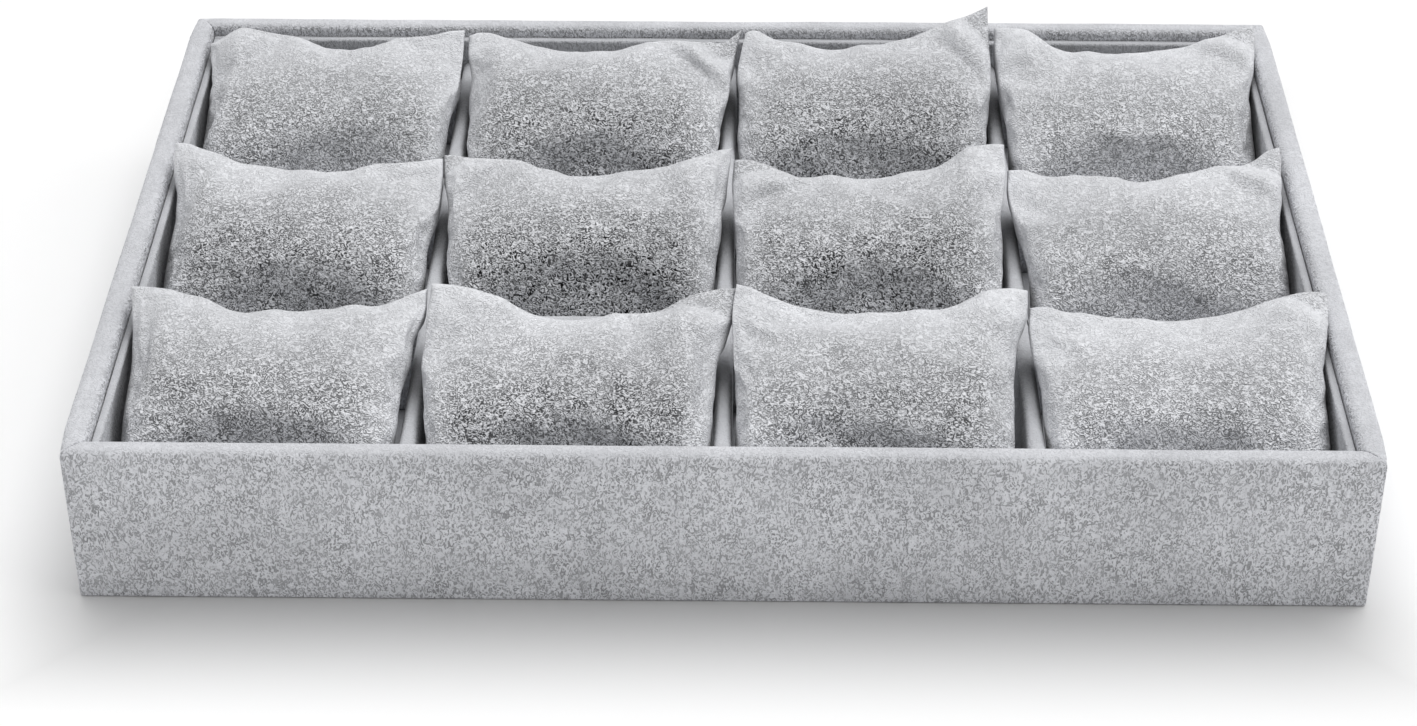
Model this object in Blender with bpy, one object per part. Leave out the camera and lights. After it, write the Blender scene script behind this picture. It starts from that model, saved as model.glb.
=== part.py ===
"""Watch display tray: a velvet-covered board tray with a grid of cells and a pillow in each.

Units are metres, +Z is up. The origin lies under the middle of the tray, on the surface it stands on.
X runs along the long side, -Y is the front.
"""
import math

import bmesh
import bpy
from mathutils import Matrix, Vector

# Overall size of the tray without its pillows
TRAY_LENGTH = 0.350
TRAY_DEPTH = 0.241
TRAY_HEIGHT = 0.049

# Gap left between pieces that touch
SEAT_GAP = 0.0003

# Boards and the velvet that wraps them
WALL_BOARD = 0.0042
BASE_BOARD = 0.0030
BOARD_EDGE_RADIUS = 0.0007
VELVET = 0.0008
MITRE_GAP = 0.0003
TURN_UNDER = 0.014

# Floor pad, liners and dividers. The drops are measured down from the rim.
FLOOR_PAD = 0.0015
LINER_THICKNESS = 0.0022
LINER_DROP = 0.0035
LINER_RADIUS = 0.0009
DIVIDER_THICKNESS = 0.0050
DIVIDER_DROP = 0.0118
DIVIDER_RADIUS = 0.0022

# Where a pillow's two long seams lie in its cell
LOWER_SEAM_IN = 0.0040
LOWER_SEAM_UP = 0.0038
UPPER_SEAM_BACK_ROOM = 0.0127
UPPER_SEAM_OVER_RIM = 0.0001

# How a pillow is filled and squeezed
PILLOW_HALF_THICKNESS = 0.0180
PILLOW_CLEARANCE = 0.0004
SIDE_PULL = 0.0008
SIDE_LIFT = 0.0130
LOW_CORNER_DROP = 0.0030
FULLNESS = 0.6
EAR_LEAN = math.radians(37.0)
EAR_TAPER = 4
EAR_POINT = 2.6
PILLOW_STEPS = 12

# How the top seam of each pillow runs, the front row first and each row from the left. The first two
# pairs are the left and the right corner: how far it reaches past the side of its cell, as a share of
# a divider's thickness, and how high it stands above the straight seam, in millimetres. The third is
# the dip between them: its place, from -1 at the left corner to 1 at the right, and its height.
TOP_SEAMS = (
    (
        ((0.31, 7.6), (0.59, 7.6), (0.02, 0.0)),
        ((0.19, 7.9), (1.07, 8.4), (-0.02, -1.8)),
        ((-0.21, 8.7), (0.57, 7.9), (-0.08, 1.5)),
        ((0.09, 2.4), (0.87, 7.4), (0.05, 0.1)),
    ),
    (
        ((0.25, 9.2), (0.13, 4.8), (0.20, 0.4)),
        ((0.71, 4.2), (0.85, 8.3), (0.05, -0.2)),
        ((0.03, 2.8), (0.37, 8.7), (-0.02, -0.3)),
        ((0.41, 1.3), (0.19, 9.4), (0.02, -0.7)),
    ),
    (
        ((0.33, 2.0), (0.39, 6.3), (0.10, 0.4)),
        ((0.45, 5.2), (0.91, 8.6), (-0.05, 0.4)),
        ((-0.21, 5.3), (0.31, 14.9), (-0.05, 2.8)),
        ((0.37, 7.5), (0.53, 10.1), (-0.05, 1.3)),
    ),
)
ROWS = len(TOP_SEAMS)
COLUMNS = len(TOP_SEAMS[0])
MILLIMETRE = 0.001

# Steps in each rounded edge, its largest radius as a share of the piece's thickness, and the angle
# above which an edge stays sharp
ARC_STEPS = 3
LARGEST_ROUNDING = 0.45
SHARP_ANGLE = math.radians(60)

# Heights that follow from the sizes above
BASE_LEVEL = VELVET + SEAT_GAP
WALL_LEVEL = BASE_LEVEL + BASE_BOARD + SEAT_GAP
PAD_TOP = WALL_LEVEL + FLOOR_PAD
CELL_LEVEL = PAD_TOP + SEAT_GAP
WALL_TOP = TRAY_HEIGHT - VELVET - SEAT_GAP
LINER_TOP = TRAY_HEIGHT - LINER_DROP
DIVIDER_TOP = TRAY_HEIGHT - DIVIDER_DROP

# The covers go round the boards' rounded edges
RIM_RADIUS = BOARD_EDGE_RADIUS + SEAT_GAP + VELVET

# Distances in from the outer face of a wall
BOARD_IN = VELVET + SEAT_GAP
SKIRT_IN = BOARD_IN + WALL_BOARD + SEAT_GAP
WALL_THICKNESS = SKIRT_IN + VELVET
LINER_IN = WALL_THICKNESS + SEAT_GAP
CELLS_IN = LINER_IN + LINER_THICKNESS
SHEET_IN = TURN_UNDER + SEAT_GAP

# Room for the grid of cells
GRID_LENGTH = TRAY_LENGTH - 2 * CELLS_IN
GRID_DEPTH = TRAY_DEPTH - 2 * CELLS_IN
CELL_WIDTH = (GRID_LENGTH - (COLUMNS - 1) * DIVIDER_THICKNESS) / COLUMNS
CELL_DEPTH = (GRID_DEPTH - (ROWS - 1) * DIVIDER_THICKNESS) / ROWS
COLUMN_PITCH = CELL_WIDTH + DIVIDER_THICKNESS
ROW_PITCH = CELL_DEPTH + DIVIDER_THICKNESS

# The pillow's middle plane rises from the lower seam at the front to the upper seam at the back
SEAM_RUN = CELL_DEPTH - UPPER_SEAM_BACK_ROOM - LOWER_SEAM_IN
SEAM_CLIMB = TRAY_HEIGHT + UPPER_SEAM_OVER_RIM - CELL_LEVEL - LOWER_SEAM_UP
SEAM_SLOPE = math.atan2(SEAM_CLIMB, SEAM_RUN)

# The four sides: how far out each wall stands, its full length and its turn about Z
SIDES = {
    "front": (TRAY_DEPTH / 2, TRAY_LENGTH, 0.0),
    "right": (TRAY_LENGTH / 2, TRAY_DEPTH, math.pi / 2),
    "back": (TRAY_DEPTH / 2, TRAY_LENGTH, math.pi),
    "left": (TRAY_LENGTH / 2, TRAY_DEPTH, -math.pi / 2),
}
LONG_SIDES = ("front", "back")


def clear_scene():
    for obj in list(bpy.data.objects):
        bpy.data.objects.remove(obj, do_unlink=True)


def make_material(name, colour, roughness):
    material = bpy.data.materials.new(name)
    material.use_nodes = True
    shader = material.node_tree.nodes["Principled BSDF"]
    shader.inputs["Base Color"].default_value = (*colour, 1.0)
    shader.inputs["Roughness"].default_value = roughness
    shader.inputs["Metallic"].default_value = 0.0
    return material


def finish(name, bm, material):
    """Turns a bmesh into a named object with one material."""
    mesh = bpy.data.meshes.new(name)
    bm.to_mesh(mesh)
    bm.free()
    mesh.materials.append(material)
    mesh.shade_smooth()
    mesh.set_sharp_from_angle(angle=SHARP_ANGLE)
    obj = bpy.data.objects.new(name, mesh)
    bpy.context.collection.objects.link(obj)
    return obj


def stand_on_side(obj, side):
    """Places a piece modelled along X, with its outer face at y = 0, as one of the four walls."""
    distance, _, turn = SIDES[side]
    obj.location = Matrix.Rotation(turn, 3, "Z") @ Vector((0.0, -distance, 0.0))
    obj.rotation_euler = (0.0, 0.0, turn)


def arc(centre, radius, start, end, steps=ARC_STEPS):
    """Points on an arc in the section plane, angles in degrees."""
    points = []
    for i in range(steps + 1):
        angle = math.radians(start + (end - start) * i / steps)
        points.append((centre[0] + radius * math.cos(angle), centre[1] + radius * math.sin(angle)))
    return points


def add_box(bm, low, high):
    """Adds a box between two corners and returns its edges."""
    size = Vector(high) - Vector(low)
    middle = (Vector(high) + Vector(low)) / 2
    matrix = Matrix.Translation(middle) @ Matrix.Diagonal((*size, 1.0))
    verts = bmesh.ops.create_cube(bm, size=1.0, matrix=matrix)["verts"]
    return list({edge for vert in verts for edge in vert.link_edges})


def loft(bm, sections):
    """Joins equal closed sections in turn and closes both ends."""
    rings = [[bm.verts.new(point) for point in section] for section in sections]
    count = len(rings[0])
    for ring, following in zip(rings, rings[1:]):
        for i in range(count):
            j = (i + 1) % count
            bm.faces.new((ring[i], ring[j], following[j], following[i]))
    bm.faces.new(rings[0][::-1])
    bm.faces.new(rings[-1])
    bmesh.ops.recalc_face_normals(bm, faces=bm.faces)


def cover_section():
    """Section of a wall cover as (distance in, height), from the turned-under edge round to the skirt."""
    outer_centre = (RIM_RADIUS, TRAY_HEIGHT - RIM_RADIUS)
    inner_centre = (WALL_THICKNESS - RIM_RADIUS, TRAY_HEIGHT - RIM_RADIUS)
    section = [(TURN_UNDER, 0.0)]
    section += arc((VELVET, VELVET), VELVET, 270, 180, 2)
    section += arc(outer_centre, RIM_RADIUS, 180, 90)
    section += arc(inner_centre, RIM_RADIUS, 90, 0)
    section += [(WALL_THICKNESS, WALL_LEVEL), (SKIRT_IN, WALL_LEVEL)]
    section += arc(inner_centre, RIM_RADIUS - VELVET, 0, 90)
    section += arc(outer_centre, RIM_RADIUS - VELVET, 90, 180)
    section += [(VELVET, VELVET), (TURN_UNDER, VELVET)]
    return section


def corner_point(depth, height, half_length, step):
    """Point of a cover where it rounds the tray's corner and stops at the mitre; step runs from 0 to 1."""
    back_off = MITRE_GAP / math.sqrt(2)
    if depth < RIM_RADIUS:
        radius = RIM_RADIUS - depth
        angle = step * math.pi / 4
        along = half_length - RIM_RADIUS + radius * math.sin(angle)
        inward = RIM_RADIUS - radius * math.cos(angle)
    else:
        along = half_length - depth - RIM_RADIUS * (1 - step)
        inward = depth
    return along - back_off, inward, height


def make_cover(side, material):
    """One velvet wrap, with rounded vertical corners and mitred ends."""
    half_length = SIDES[side][1] / 2
    section = cover_section()
    right_end = []
    for step in range(ARC_STEPS + 1):
        right_end.append([corner_point(*point, half_length, step / ARC_STEPS) for point in section])
    left_end = [[(-x, y, z) for x, y, z in ring] for ring in reversed(right_end)]
    bm = bmesh.new()
    loft(bm, left_end + right_end)
    obj = finish(f"{side}_cover", bm, material)
    stand_on_side(obj, side)


def make_base_board(material):
    """The board under the walls, its corners rounded to follow the covers."""
    half_length = TRAY_LENGTH / 2 - BOARD_IN
    half_depth = TRAY_DEPTH / 2 - BOARD_IN
    top = BASE_LEVEL + BASE_BOARD
    bm = bmesh.new()
    edges = add_box(bm, (-half_length, -half_depth, BASE_LEVEL), (half_length, half_depth, top))
    upright = [edge for edge in edges if abs(edge.verts[0].co.z - edge.verts[1].co.z) > BASE_BOARD / 2]
    bmesh.ops.bevel(bm, geom=upright, offset=BOARD_EDGE_RADIUS, segments=2, profile=0.5, affect="EDGES")
    finish("base_board", bm, material)


def make_sheet(name, inset, low, high, material):
    """A plain rectangular sheet, its edges a set distance in from the tray's sides."""
    half_length = TRAY_LENGTH / 2 - inset
    half_depth = TRAY_DEPTH / 2 - inset
    bm = bmesh.new()
    add_box(bm, (-half_length, -half_depth, low), (half_length, half_depth, high))
    finish(name, bm, material)


def strip_section(thickness, low, high, radius):
    """Upright strip with a rounded top, as (distance in, height). A radius stays under half the strip."""
    radius = min(radius, LARGEST_ROUNDING * thickness)
    section = [(0.0, low)]
    section += arc((radius, high - radius), radius, 180, 90)
    section += arc((thickness - radius, high - radius), radius, 90, 0)
    section.append((thickness, low))
    return section


def make_strip(name, half_length, offset, section, material):
    """Extrudes a strip's section along X."""
    bm = bmesh.new()
    loft(bm, [[(end * half_length, offset + inward, up) for inward, up in section] for end in (-1, 1)])
    return finish(name, bm, material)


def make_wall_board(side, material):
    """A board inside a cover. The long ones run past the ends of the side ones, up to the round corners."""
    half_length = SIDES[side][1] / 2 - (RIM_RADIUS if side in LONG_SIDES else SKIRT_IN)
    section = strip_section(WALL_BOARD, WALL_LEVEL, WALL_TOP, BOARD_EDGE_RADIUS)
    obj = make_strip(f"{side}_wall_board", half_length, BOARD_IN, section, material)
    stand_on_side(obj, side)


def make_liner(side, material):
    """A thin strip against the inside of a wall. The long ones run past the ends of the side ones."""
    half_length = SIDES[side][1] / 2 - LINER_IN
    if side not in LONG_SIDES:
        half_length -= LINER_THICKNESS + SEAT_GAP
    section = strip_section(LINER_THICKNESS, CELL_LEVEL, LINER_TOP, LINER_RADIUS)
    obj = make_strip(f"{side}_liner", half_length, LINER_IN, section, material)
    stand_on_side(obj, side)


def cut_slots(obj, places, low, high):
    """Cuts a slot through a divider, across its thickness, at each place along it."""
    bm = bmesh.new()
    half_width = DIVIDER_THICKNESS / 2 + SEAT_GAP
    reach = 2 * DIVIDER_THICKNESS
    for place in places:
        add_box(bm, (place - half_width, -reach, low), (place + half_width, reach, high))
    cutter = finish(f"{obj.name}_slots", bm, obj.data.materials[0])
    cutter.parent = obj
    cutter.hide_render = True
    cutter.display_type = "WIRE"
    slots = obj.modifiers.new("slots", "BOOLEAN")
    slots.operation = "DIFFERENCE"
    slots.solver = "EXACT"
    slots.object = cutter


def make_dividers(material):
    """Half-lapped dividers: the long ones are slotted from below, the cross ones from above."""
    section = strip_section(DIVIDER_THICKNESS, CELL_LEVEL, DIVIDER_TOP, DIVIDER_RADIUS)
    lap = (CELL_LEVEL + DIVIDER_TOP) / 2
    column_lines = [(i - COLUMNS / 2) * COLUMN_PITCH for i in range(1, COLUMNS)]
    row_lines = [(i - ROWS / 2) * ROW_PITCH for i in range(1, ROWS)]
    for number, line in enumerate(column_lines, 1):
        half_length = GRID_DEPTH / 2 - SEAT_GAP
        obj = make_strip(f"long_divider_{number}", half_length, -DIVIDER_THICKNESS / 2, section, material)
        cut_slots(obj, row_lines, CELL_LEVEL - DIVIDER_THICKNESS, lap + SEAT_GAP / 2)
        obj.location = (line, 0.0, 0.0)
        obj.rotation_euler = (0.0, 0.0, math.pi / 2)
    for number, line in enumerate(row_lines, 1):
        half_length = GRID_LENGTH / 2 - SEAT_GAP
        obj = make_strip(f"cross_divider_{number}", half_length, -DIVIDER_THICKNESS / 2, section, material)
        cut_slots(obj, column_lines, lap - SEAT_GAP / 2, DIVIDER_TOP + DIVIDER_THICKNESS)
        obj.location = (0.0, line, 0.0)


def seam_rise(a, seam):
    """Height of the top seam above its straight line, for a from -1 at the left end to 1 at the right."""
    (_, left_up), (_, right_up), (dip, dip_up) = seam
    corner_up = left_up if a < dip else right_up
    span = dip + 1 if a < dip else 1 - dip
    rise = math.sin(math.pi / 2 * abs(a - dip) / span) ** EAR_POINT
    return (dip_up + (corner_up - dip_up) * rise) * MILLIMETRE


def pillow_point(a, b, face, seam):
    """Point of a pillow in its cell: a runs left to right, b up the seams, face is 1 on top, -1 below.

    X is from the middle of the cell, Y from its front, Z from its floor.
    """
    up_share = (1 + b) / 2
    side = CELL_WIDTH / 2 - PILLOW_CLEARANCE
    corner_reach = seam[0][0] if a < 0 else seam[1][0]
    corner = PILLOW_CLEARANCE + corner_reach * DIVIDER_THICKNESS
    x = a * (side + corner * up_share**EAR_TAPER - SIDE_PULL * (1 - b * b))

    rise = seam_rise(a, seam) * up_share**3
    drop = LOW_CORNER_DROP * a * a * (1 - up_share) ** 3
    along = up_share * math.hypot(SEAM_RUN, SEAM_CLIMB) - drop
    y = LOWER_SEAM_IN + along * math.cos(SEAM_SLOPE) + rise * math.sin(EAR_LEAN)
    z = LOWER_SEAM_UP + along * math.sin(SEAM_SLOPE) + rise * math.cos(EAR_LEAN)

    # The side seams ride up where the cell squeezes them: the curve s (1 - s)^2 has its peak, 4/27,
    # a third of the way up
    lift = SIDE_LIFT * a * a * up_share * (1 - up_share) ** 2 * 27 / 4
    swell = lift + face * PILLOW_HALF_THICKNESS * ((1 - a * a) * (1 - b * b)) ** FULLNESS
    return Vector((x, y - swell * math.sin(SEAM_SLOPE), z + swell * math.cos(SEAM_SLOPE)))


def settle(point, side_tops):
    """Keeps a point of a pillow in its cell. Over the strips at the sides it may spread past them."""
    top = side_tops[0] if point.x < 0 else side_tops[1]
    above = max(0.0, point.z + CELL_LEVEL - top - PILLOW_CLEARANCE)
    reach = CELL_WIDTH / 2 - PILLOW_CLEARANCE + above
    point.x = max(-reach, min(reach, point.x))
    point.y = max(PILLOW_CLEARANCE, min(CELL_DEPTH - PILLOW_CLEARANCE, point.y))
    point.z = max(SEAT_GAP, point.z)
    return point


def spread(i, steps):
    """Parameter of a grid line, from -1 to 1, with the lines closer together near the seams."""
    even = 2 * i / steps - 1
    return 0.5 * even + 0.5 * math.sin(math.pi / 2 * even)


def make_pillow(row, column, material):
    """A sewn, filled pillow: two panels that share a seam round their edge."""
    seam = TOP_SEAMS[row - 1][column - 1]
    side_tops = (
        LINER_TOP if column == 1 else DIVIDER_TOP,
        LINER_TOP if column == COLUMNS else DIVIDER_TOP,
    )
    bm = bmesh.new()
    steps = PILLOW_STEPS
    grids = {}
    for face in (1, -1):
        for i in range(steps + 1):
            for j in range(steps + 1):
                on_seam = i in (0, steps) or j in (0, steps)
                if face == -1 and on_seam:
                    grids[face, i, j] = grids[1, i, j]
                else:
                    point = pillow_point(spread(i, steps), spread(j, steps), face, seam)
                    grids[face, i, j] = bm.verts.new(settle(point, side_tops))
    for face in (1, -1):
        for i in range(steps):
            for j in range(steps):
                corners = [grids[face, i, j], grids[face, i + 1, j]]
                corners += [grids[face, i + 1, j + 1], grids[face, i, j + 1]]
                bm.faces.new(corners[::face])
    obj = finish(f"pillow_r{row}_c{column}", bm, material)
    obj.location = (
        (column - (COLUMNS + 1) / 2) * COLUMN_PITCH,
        (row - (ROWS + 1) / 2) * ROW_PITCH - CELL_DEPTH / 2,
        CELL_LEVEL,
    )


def main():
    clear_scene()
    cover_velvet = make_material("cover_velvet", (0.50, 0.505, 0.525), 0.95)
    liner_velvet = make_material("liner_velvet", (0.48, 0.485, 0.505), 0.95)
    pillow_velvet = make_material("pillow_velvet", (0.52, 0.525, 0.54), 0.95)
    board = make_material("board", (0.42, 0.34, 0.25), 0.85)
    lining = make_material("bottom_lining", (0.30, 0.305, 0.32), 0.9)

    for side in SIDES:
        make_wall_board(side, board)
        make_cover(side, cover_velvet)
        make_liner(side, liner_velvet)
    make_base_board(board)

    make_sheet("bottom_sheet", SHEET_IN, 0.0, VELVET, lining)
    make_sheet("floor_pad", LINER_IN, WALL_LEVEL, PAD_TOP, liner_velvet)
    make_dividers(liner_velvet)
    for row in range(1, ROWS + 1):
        for column in range(1, COLUMNS + 1):
            make_pillow(row, column, pillow_velvet)


main()
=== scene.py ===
import math

import bmesh
import bpy
import numpy as np
from mathutils import Matrix, Vector, noise


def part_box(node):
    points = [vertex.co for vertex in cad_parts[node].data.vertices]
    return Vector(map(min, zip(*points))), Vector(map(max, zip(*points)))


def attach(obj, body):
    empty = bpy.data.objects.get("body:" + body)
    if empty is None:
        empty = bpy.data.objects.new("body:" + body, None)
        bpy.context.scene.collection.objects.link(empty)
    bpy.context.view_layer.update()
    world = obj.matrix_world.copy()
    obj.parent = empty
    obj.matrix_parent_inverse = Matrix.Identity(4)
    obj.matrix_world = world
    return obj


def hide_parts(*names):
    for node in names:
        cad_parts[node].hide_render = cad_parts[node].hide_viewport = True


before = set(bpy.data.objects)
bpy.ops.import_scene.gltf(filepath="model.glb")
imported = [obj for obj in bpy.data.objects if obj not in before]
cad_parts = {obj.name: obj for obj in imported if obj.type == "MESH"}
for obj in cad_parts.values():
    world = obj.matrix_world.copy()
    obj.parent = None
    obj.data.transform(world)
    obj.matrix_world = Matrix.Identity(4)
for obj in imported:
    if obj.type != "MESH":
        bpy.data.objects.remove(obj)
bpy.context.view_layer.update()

# Sizes in metres. Places come from the boxes of the frame's nodes.
MM = 0.001
BODY = "root"
LONG_SIDES = ("front", "back")
SIDE_TURNS = {"front": 0.0, "right": math.pi / 2, "back": math.pi, "left": -math.pi / 2}
ROWS = 3
COLUMNS = 4
# How far a seed shifts the noise in x, y and z, as shares of the seed
SEED_SHIFTS = (1.0, 2.7, 0.4)

# Camera, fitted to the corners of the tray in a picture of 1417 by 726 pixels
PICTURE_WIDTH = 1417
FOCAL_PIXELS = 3036.8
SENSOR_WIDTH_MM = 36.0
CAMERA_PLACE = (0.005935, -0.761746, 0.524963)
CAMERA_PITCH = math.radians(55.193)
CAMERA_YAW = math.radians(0.838)
CAMERA_ROLL = math.radians(-0.065)

# Light: an even sky, a large soft lamp high behind the tray and a weaker one at its right. Each lamp
# has its strength, the angle it fills, its height and its turn from straight behind to the right.
SKY_STRENGTH = 0.45
LAMPS = {
    "soft_lamp_behind": (1.68, 50.0, 69.0, 14.0),
    "soft_lamp_right": (0.58, 60.0, 36.0, 88.0),
}

# Floor: a darker white round the tray deepens its shadow. It reaches a half length and a half depth from
# the tray's middle, and fades to white from there.
FLOOR_WHITE = 0.99
FLOOR_NEAR = 0.66
FLOOR_NEAR_HALF = (0.150, 0.120)
FLOOR_FADE = 0.060
FLOOR_REACH = 4.0

# Covers
COVER_STEP = 0.0018
RIM_STEPS = 8
FOOT_STEPS = 3
VELVET = 0.0008
SEAT_GAP = 0.0003
RIM_RADIUS = 0.0024
UPRIGHT_RADIUS = 0.0010
TURN_UNDER = 0.014
MITRE_HALF_GAP = 0.00001
MERGE_DISTANCE = 0.000002
COVER_UNEVEN = ((0.045, 0.00016), (0.012, 0.00008), (0.004, 0.00004))
COVER_FIRST_SEED = 5.0
COVER_SEED_STEP = 1.7

# Tuck of the velvet at a mitre: how far from the mitre and how deep, as shares of its width and depth,
# then plain rings half a width apart. It counts as on the rim down to RIM_TUCK_FROM below the top.
TUCK_DEPTH = 0.0005
TUCK_WIDTH = 0.0008
TUCK_FORM = ((0.0, 2.0), (0.0, 1.0), (0.05, 0.45), (0.2, 0.2))
TUCK_RINGS = 5
RIM_TUCK_FROM = 0.003
# How deep the velvet is tucked in at each mitre, on the rim and down the upright corner
TUCKS = {
    "front_left": (1.0, 0.0),
    "front_right": (1.0, 0.35),
    "back_right": (0.2, 0.0),
    "back_left": (0.2, 0.0),
}
SIDE_ENDS = {
    "front": ("front_left", "front_right"),
    "right": ("front_right", "back_right"),
    "back": ("back_right", "back_left"),
    "left": ("back_left", "front_left"),
}
# How far the pile stands out along the top of the left and right walls: it grows with the height, from
# a share of PUFF_FROM that stays flat, and ends before the mitres
PUFF = 0.0008
PUFF_FROM = 0.020
PUFF_FLAT_SHARE = 0.3
PUFF_END = 0.012

# Strips: liners and dividers. The roundings are shares of the thickness.
STRIP_STEP = 0.0020
STRIP_TOP_STEPS = 6
STRIP_ROUNDING = 0.42
WALL_SIDE_ROUNDING = 0.08
STRIP_UNEVEN = ((0.03, 0.00025), (0.008, 0.0001))
STRIP_SETTLED = 0.0001
STRIP_FIRST_SEED = 20.0
STRIP_SEED_STEP = 1.3
SHARP_ANGLE = math.radians(60)
CUT_OVER = 0.01
# How far the top of each long divider leans to the right, at its front and back end
LEANS = {"long_divider_1": (-0.0015, -0.0004), "long_divider_3": (0.0011, 0.0004)}

# Pillows
LOWER_SEAM_IN = 0.0040
LOWER_SEAM_UP = 0.0038
UPPER_SEAM_BACK_ROOM = 0.0127
UPPER_SEAM_OVER_RIM = 0.0001
HALF_THICKNESS = 0.0180
CLEARANCE = 0.0004
SEAM_ROOM = 0.0004
SOFT_LIMIT = 0.0015
SIDE_LIFT = 0.0130
SIDE_LIFT_SCALE = 27 / 4
LOW_CORNER_DROP = 0.0030
FULLNESS = 0.55
CROWN = 0.80
CORNER_CROWN = 0.45
BELLY_SAG = 0.03
EAR_LEAN = math.radians(37.0)
SEAM_HALF_THICKNESS = 0.0021
SEAM_ROUNDING = 1.5
FLAP_THINNING = 0.5
ACROSS_STEPS = 56
UP_STEPS = 48
PILLOW_UNEVEN = ((0.026, 0.0011), (0.011, 0.0006), (0.0045, 0.00025))
PILLOW_SEED_STEP = 3.1

# Shoulders of the top corners, in millimetres but for the radius. A plain one swells most at a place in
# from the side and down from the top, a creased one behind its crease, along a share of the crease.
SHOULDER_RADIUS = 0.0035
SHOULDER_IN = 9
SHOULDER_DOWN = 7
SHOULDER_SPREAD = 6
TIP_REACH = 10
CREASE_BUMP = 3.5
CREASE_BUMP_SHARE = 0.6

# Pile of the pillows: how open it stands at the side seams and at the top seam, compared with the
# middle, how far in from the side it opens, and how open it is on the underside and on the flaps. Open pile
# has deeper bumps and more dark gaps, which are partly painted shade, so most of that shade lies over the
# low belly, where the light grazes
PILE_AT_SIDE = 0.3
PILE_SIDE_WIDTH = 0.30
PILE_AT_TOP = 0.15
PILE_TOP_POWER = 1.1
PILE_UNDER = 0.6
PILE_ON_FLAP = 0.4
# A painted light brightens each pillow downwards, where its low belly lies in shade, from here and over
# this much, -1 being the lower seam, 1 the upper
PAINTED_LIGHT_FROM = 0.3
PAINTED_LIGHT_WIDTH = 0.8

# Velvets: the size of a tuft, how warped the tufts are, the noise levels from which and to which a gap
# opens, how dark the gaps are, which are partly the pile's grain and partly painted shade between tufts,
# how deep the pile is, and the tone of the painted shade in narrow hollows between the pieces
COVER_VELVET = {
    "colour": (0.82, 0.83, 0.868),
    "grain": 0.0011,
    "warp": 2.2,
    "gap_edges": (0.53, 0.36),
    "contrast": 0.58,
    "depth": 0.0008,
}
LINER_VELVET = {
    "colour": (0.68, 0.69, 0.72),
    "grain": 0.0011,
    "warp": 2.2,
    "gap_edges": (0.53, 0.36),
    "contrast": 0.36,
    "depth": 0.0005,
    "painted_hollow_shade": 0.08,
}
PILLOW_VELVET = {
    "colour": (0.82, 0.83, 0.86),
    "grain": 0.0014,
    "warp": 2.8,
    "gap_edges": (0.51, 0.38),
    "contrast": 0.98,
    "depth": 0.0017,
    "painted_hollow_shade": 0.50,
    "opened": True,
}
VELVET_SURFACE = {
    "Roughness": 0.95,
    "Specular IOR Level": 0.15,
    "Sheen Weight": 0.25,
    "Sheen Roughness": 0.45,
    "Sheen Tint": (0.95, 0.96, 1.0, 1.0),
}
# On the covers and liners the tufts are drawn upward
TUFT_STRETCH = (1.0, 1.0, 0.65)
LEAST_PILE_HEIGHT = 0.2
# The lay of the pile and the patches in it: how fine each is, and then, from and to which noise level,
# how open the pile stands and how light it looks
LAY_SCALE = 130.0
PATCH_SCALE = 24.0
LAY_OPENS = (0.25, 0.75, 0.6, 1.0)
LAY_TONES = (0.3, 0.7, 0.95, 1.04)
PATCH_TONES = (0.28, 0.72, 0.90, 1.06)
# The same on covers and liners, from and to how far the surface faces up. Faces that look up, where the
# lamps fall full on, get fewer dark gaps, which are partly painted shade, and a painted shade over all
FACING_PILE_AND_GAP_SHADE = (0.45, 0.95, 1.0, 0.3)
FACING_PAINTED_SHADE = (0.45, 0.95, 1.0, 0.86)
# Painted shade in the narrow hollows between the pieces, found by an occlusion node
PAINTED_SHADE_REACH = 0.008
PAINTED_SHADE_EDGES = (0.15, 0.75)
PAINTED_SHADE_SAMPLES = 6

# Board and lining: the darker and the lighter colour of each, how fine its grain and its clouds are, the
# noise levels between which both work, and the tone of the darkest clouds
BOARD_COLOURS = ((0.30, 0.23, 0.16, 1), (0.45, 0.36, 0.26, 1))
BOARD_FIBRE_SCALE = 900.0
BOARD_CLOUD_SCALE = 40.0
BOARD_CLOUD_TONE = 0.8
LINING_COLOURS = ((0.20, 0.203, 0.21, 1), (0.31, 0.315, 0.33, 1))
LINING_CELL_SCALE = 900.0
LINING_CELL_RIM = 0.25
LINING_CLOUD_SCALE = 30.0
LINING_CLOUD_TONE = 0.85
CLOUD_LEVELS = (0.3, 0.7)

# Cloth simulation of the pillows
FIRST_FRAME = 1
LAST_FRAME = 16
LARGEST_MOVE = 0.003
LEAST_MOVE = 1e-9
CLOTH_SETTINGS = {
    "quality": 5,
    "mass": 0.15,
    "tension_stiffness": 15,
    "compression_stiffness": 15,
    "shear_stiffness": 5,
    "bending_stiffness": 0.4,
    "use_pressure": True,
    "uniform_pressure_force": 2.0,
    "shrink_min": -0.03,
}

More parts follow.
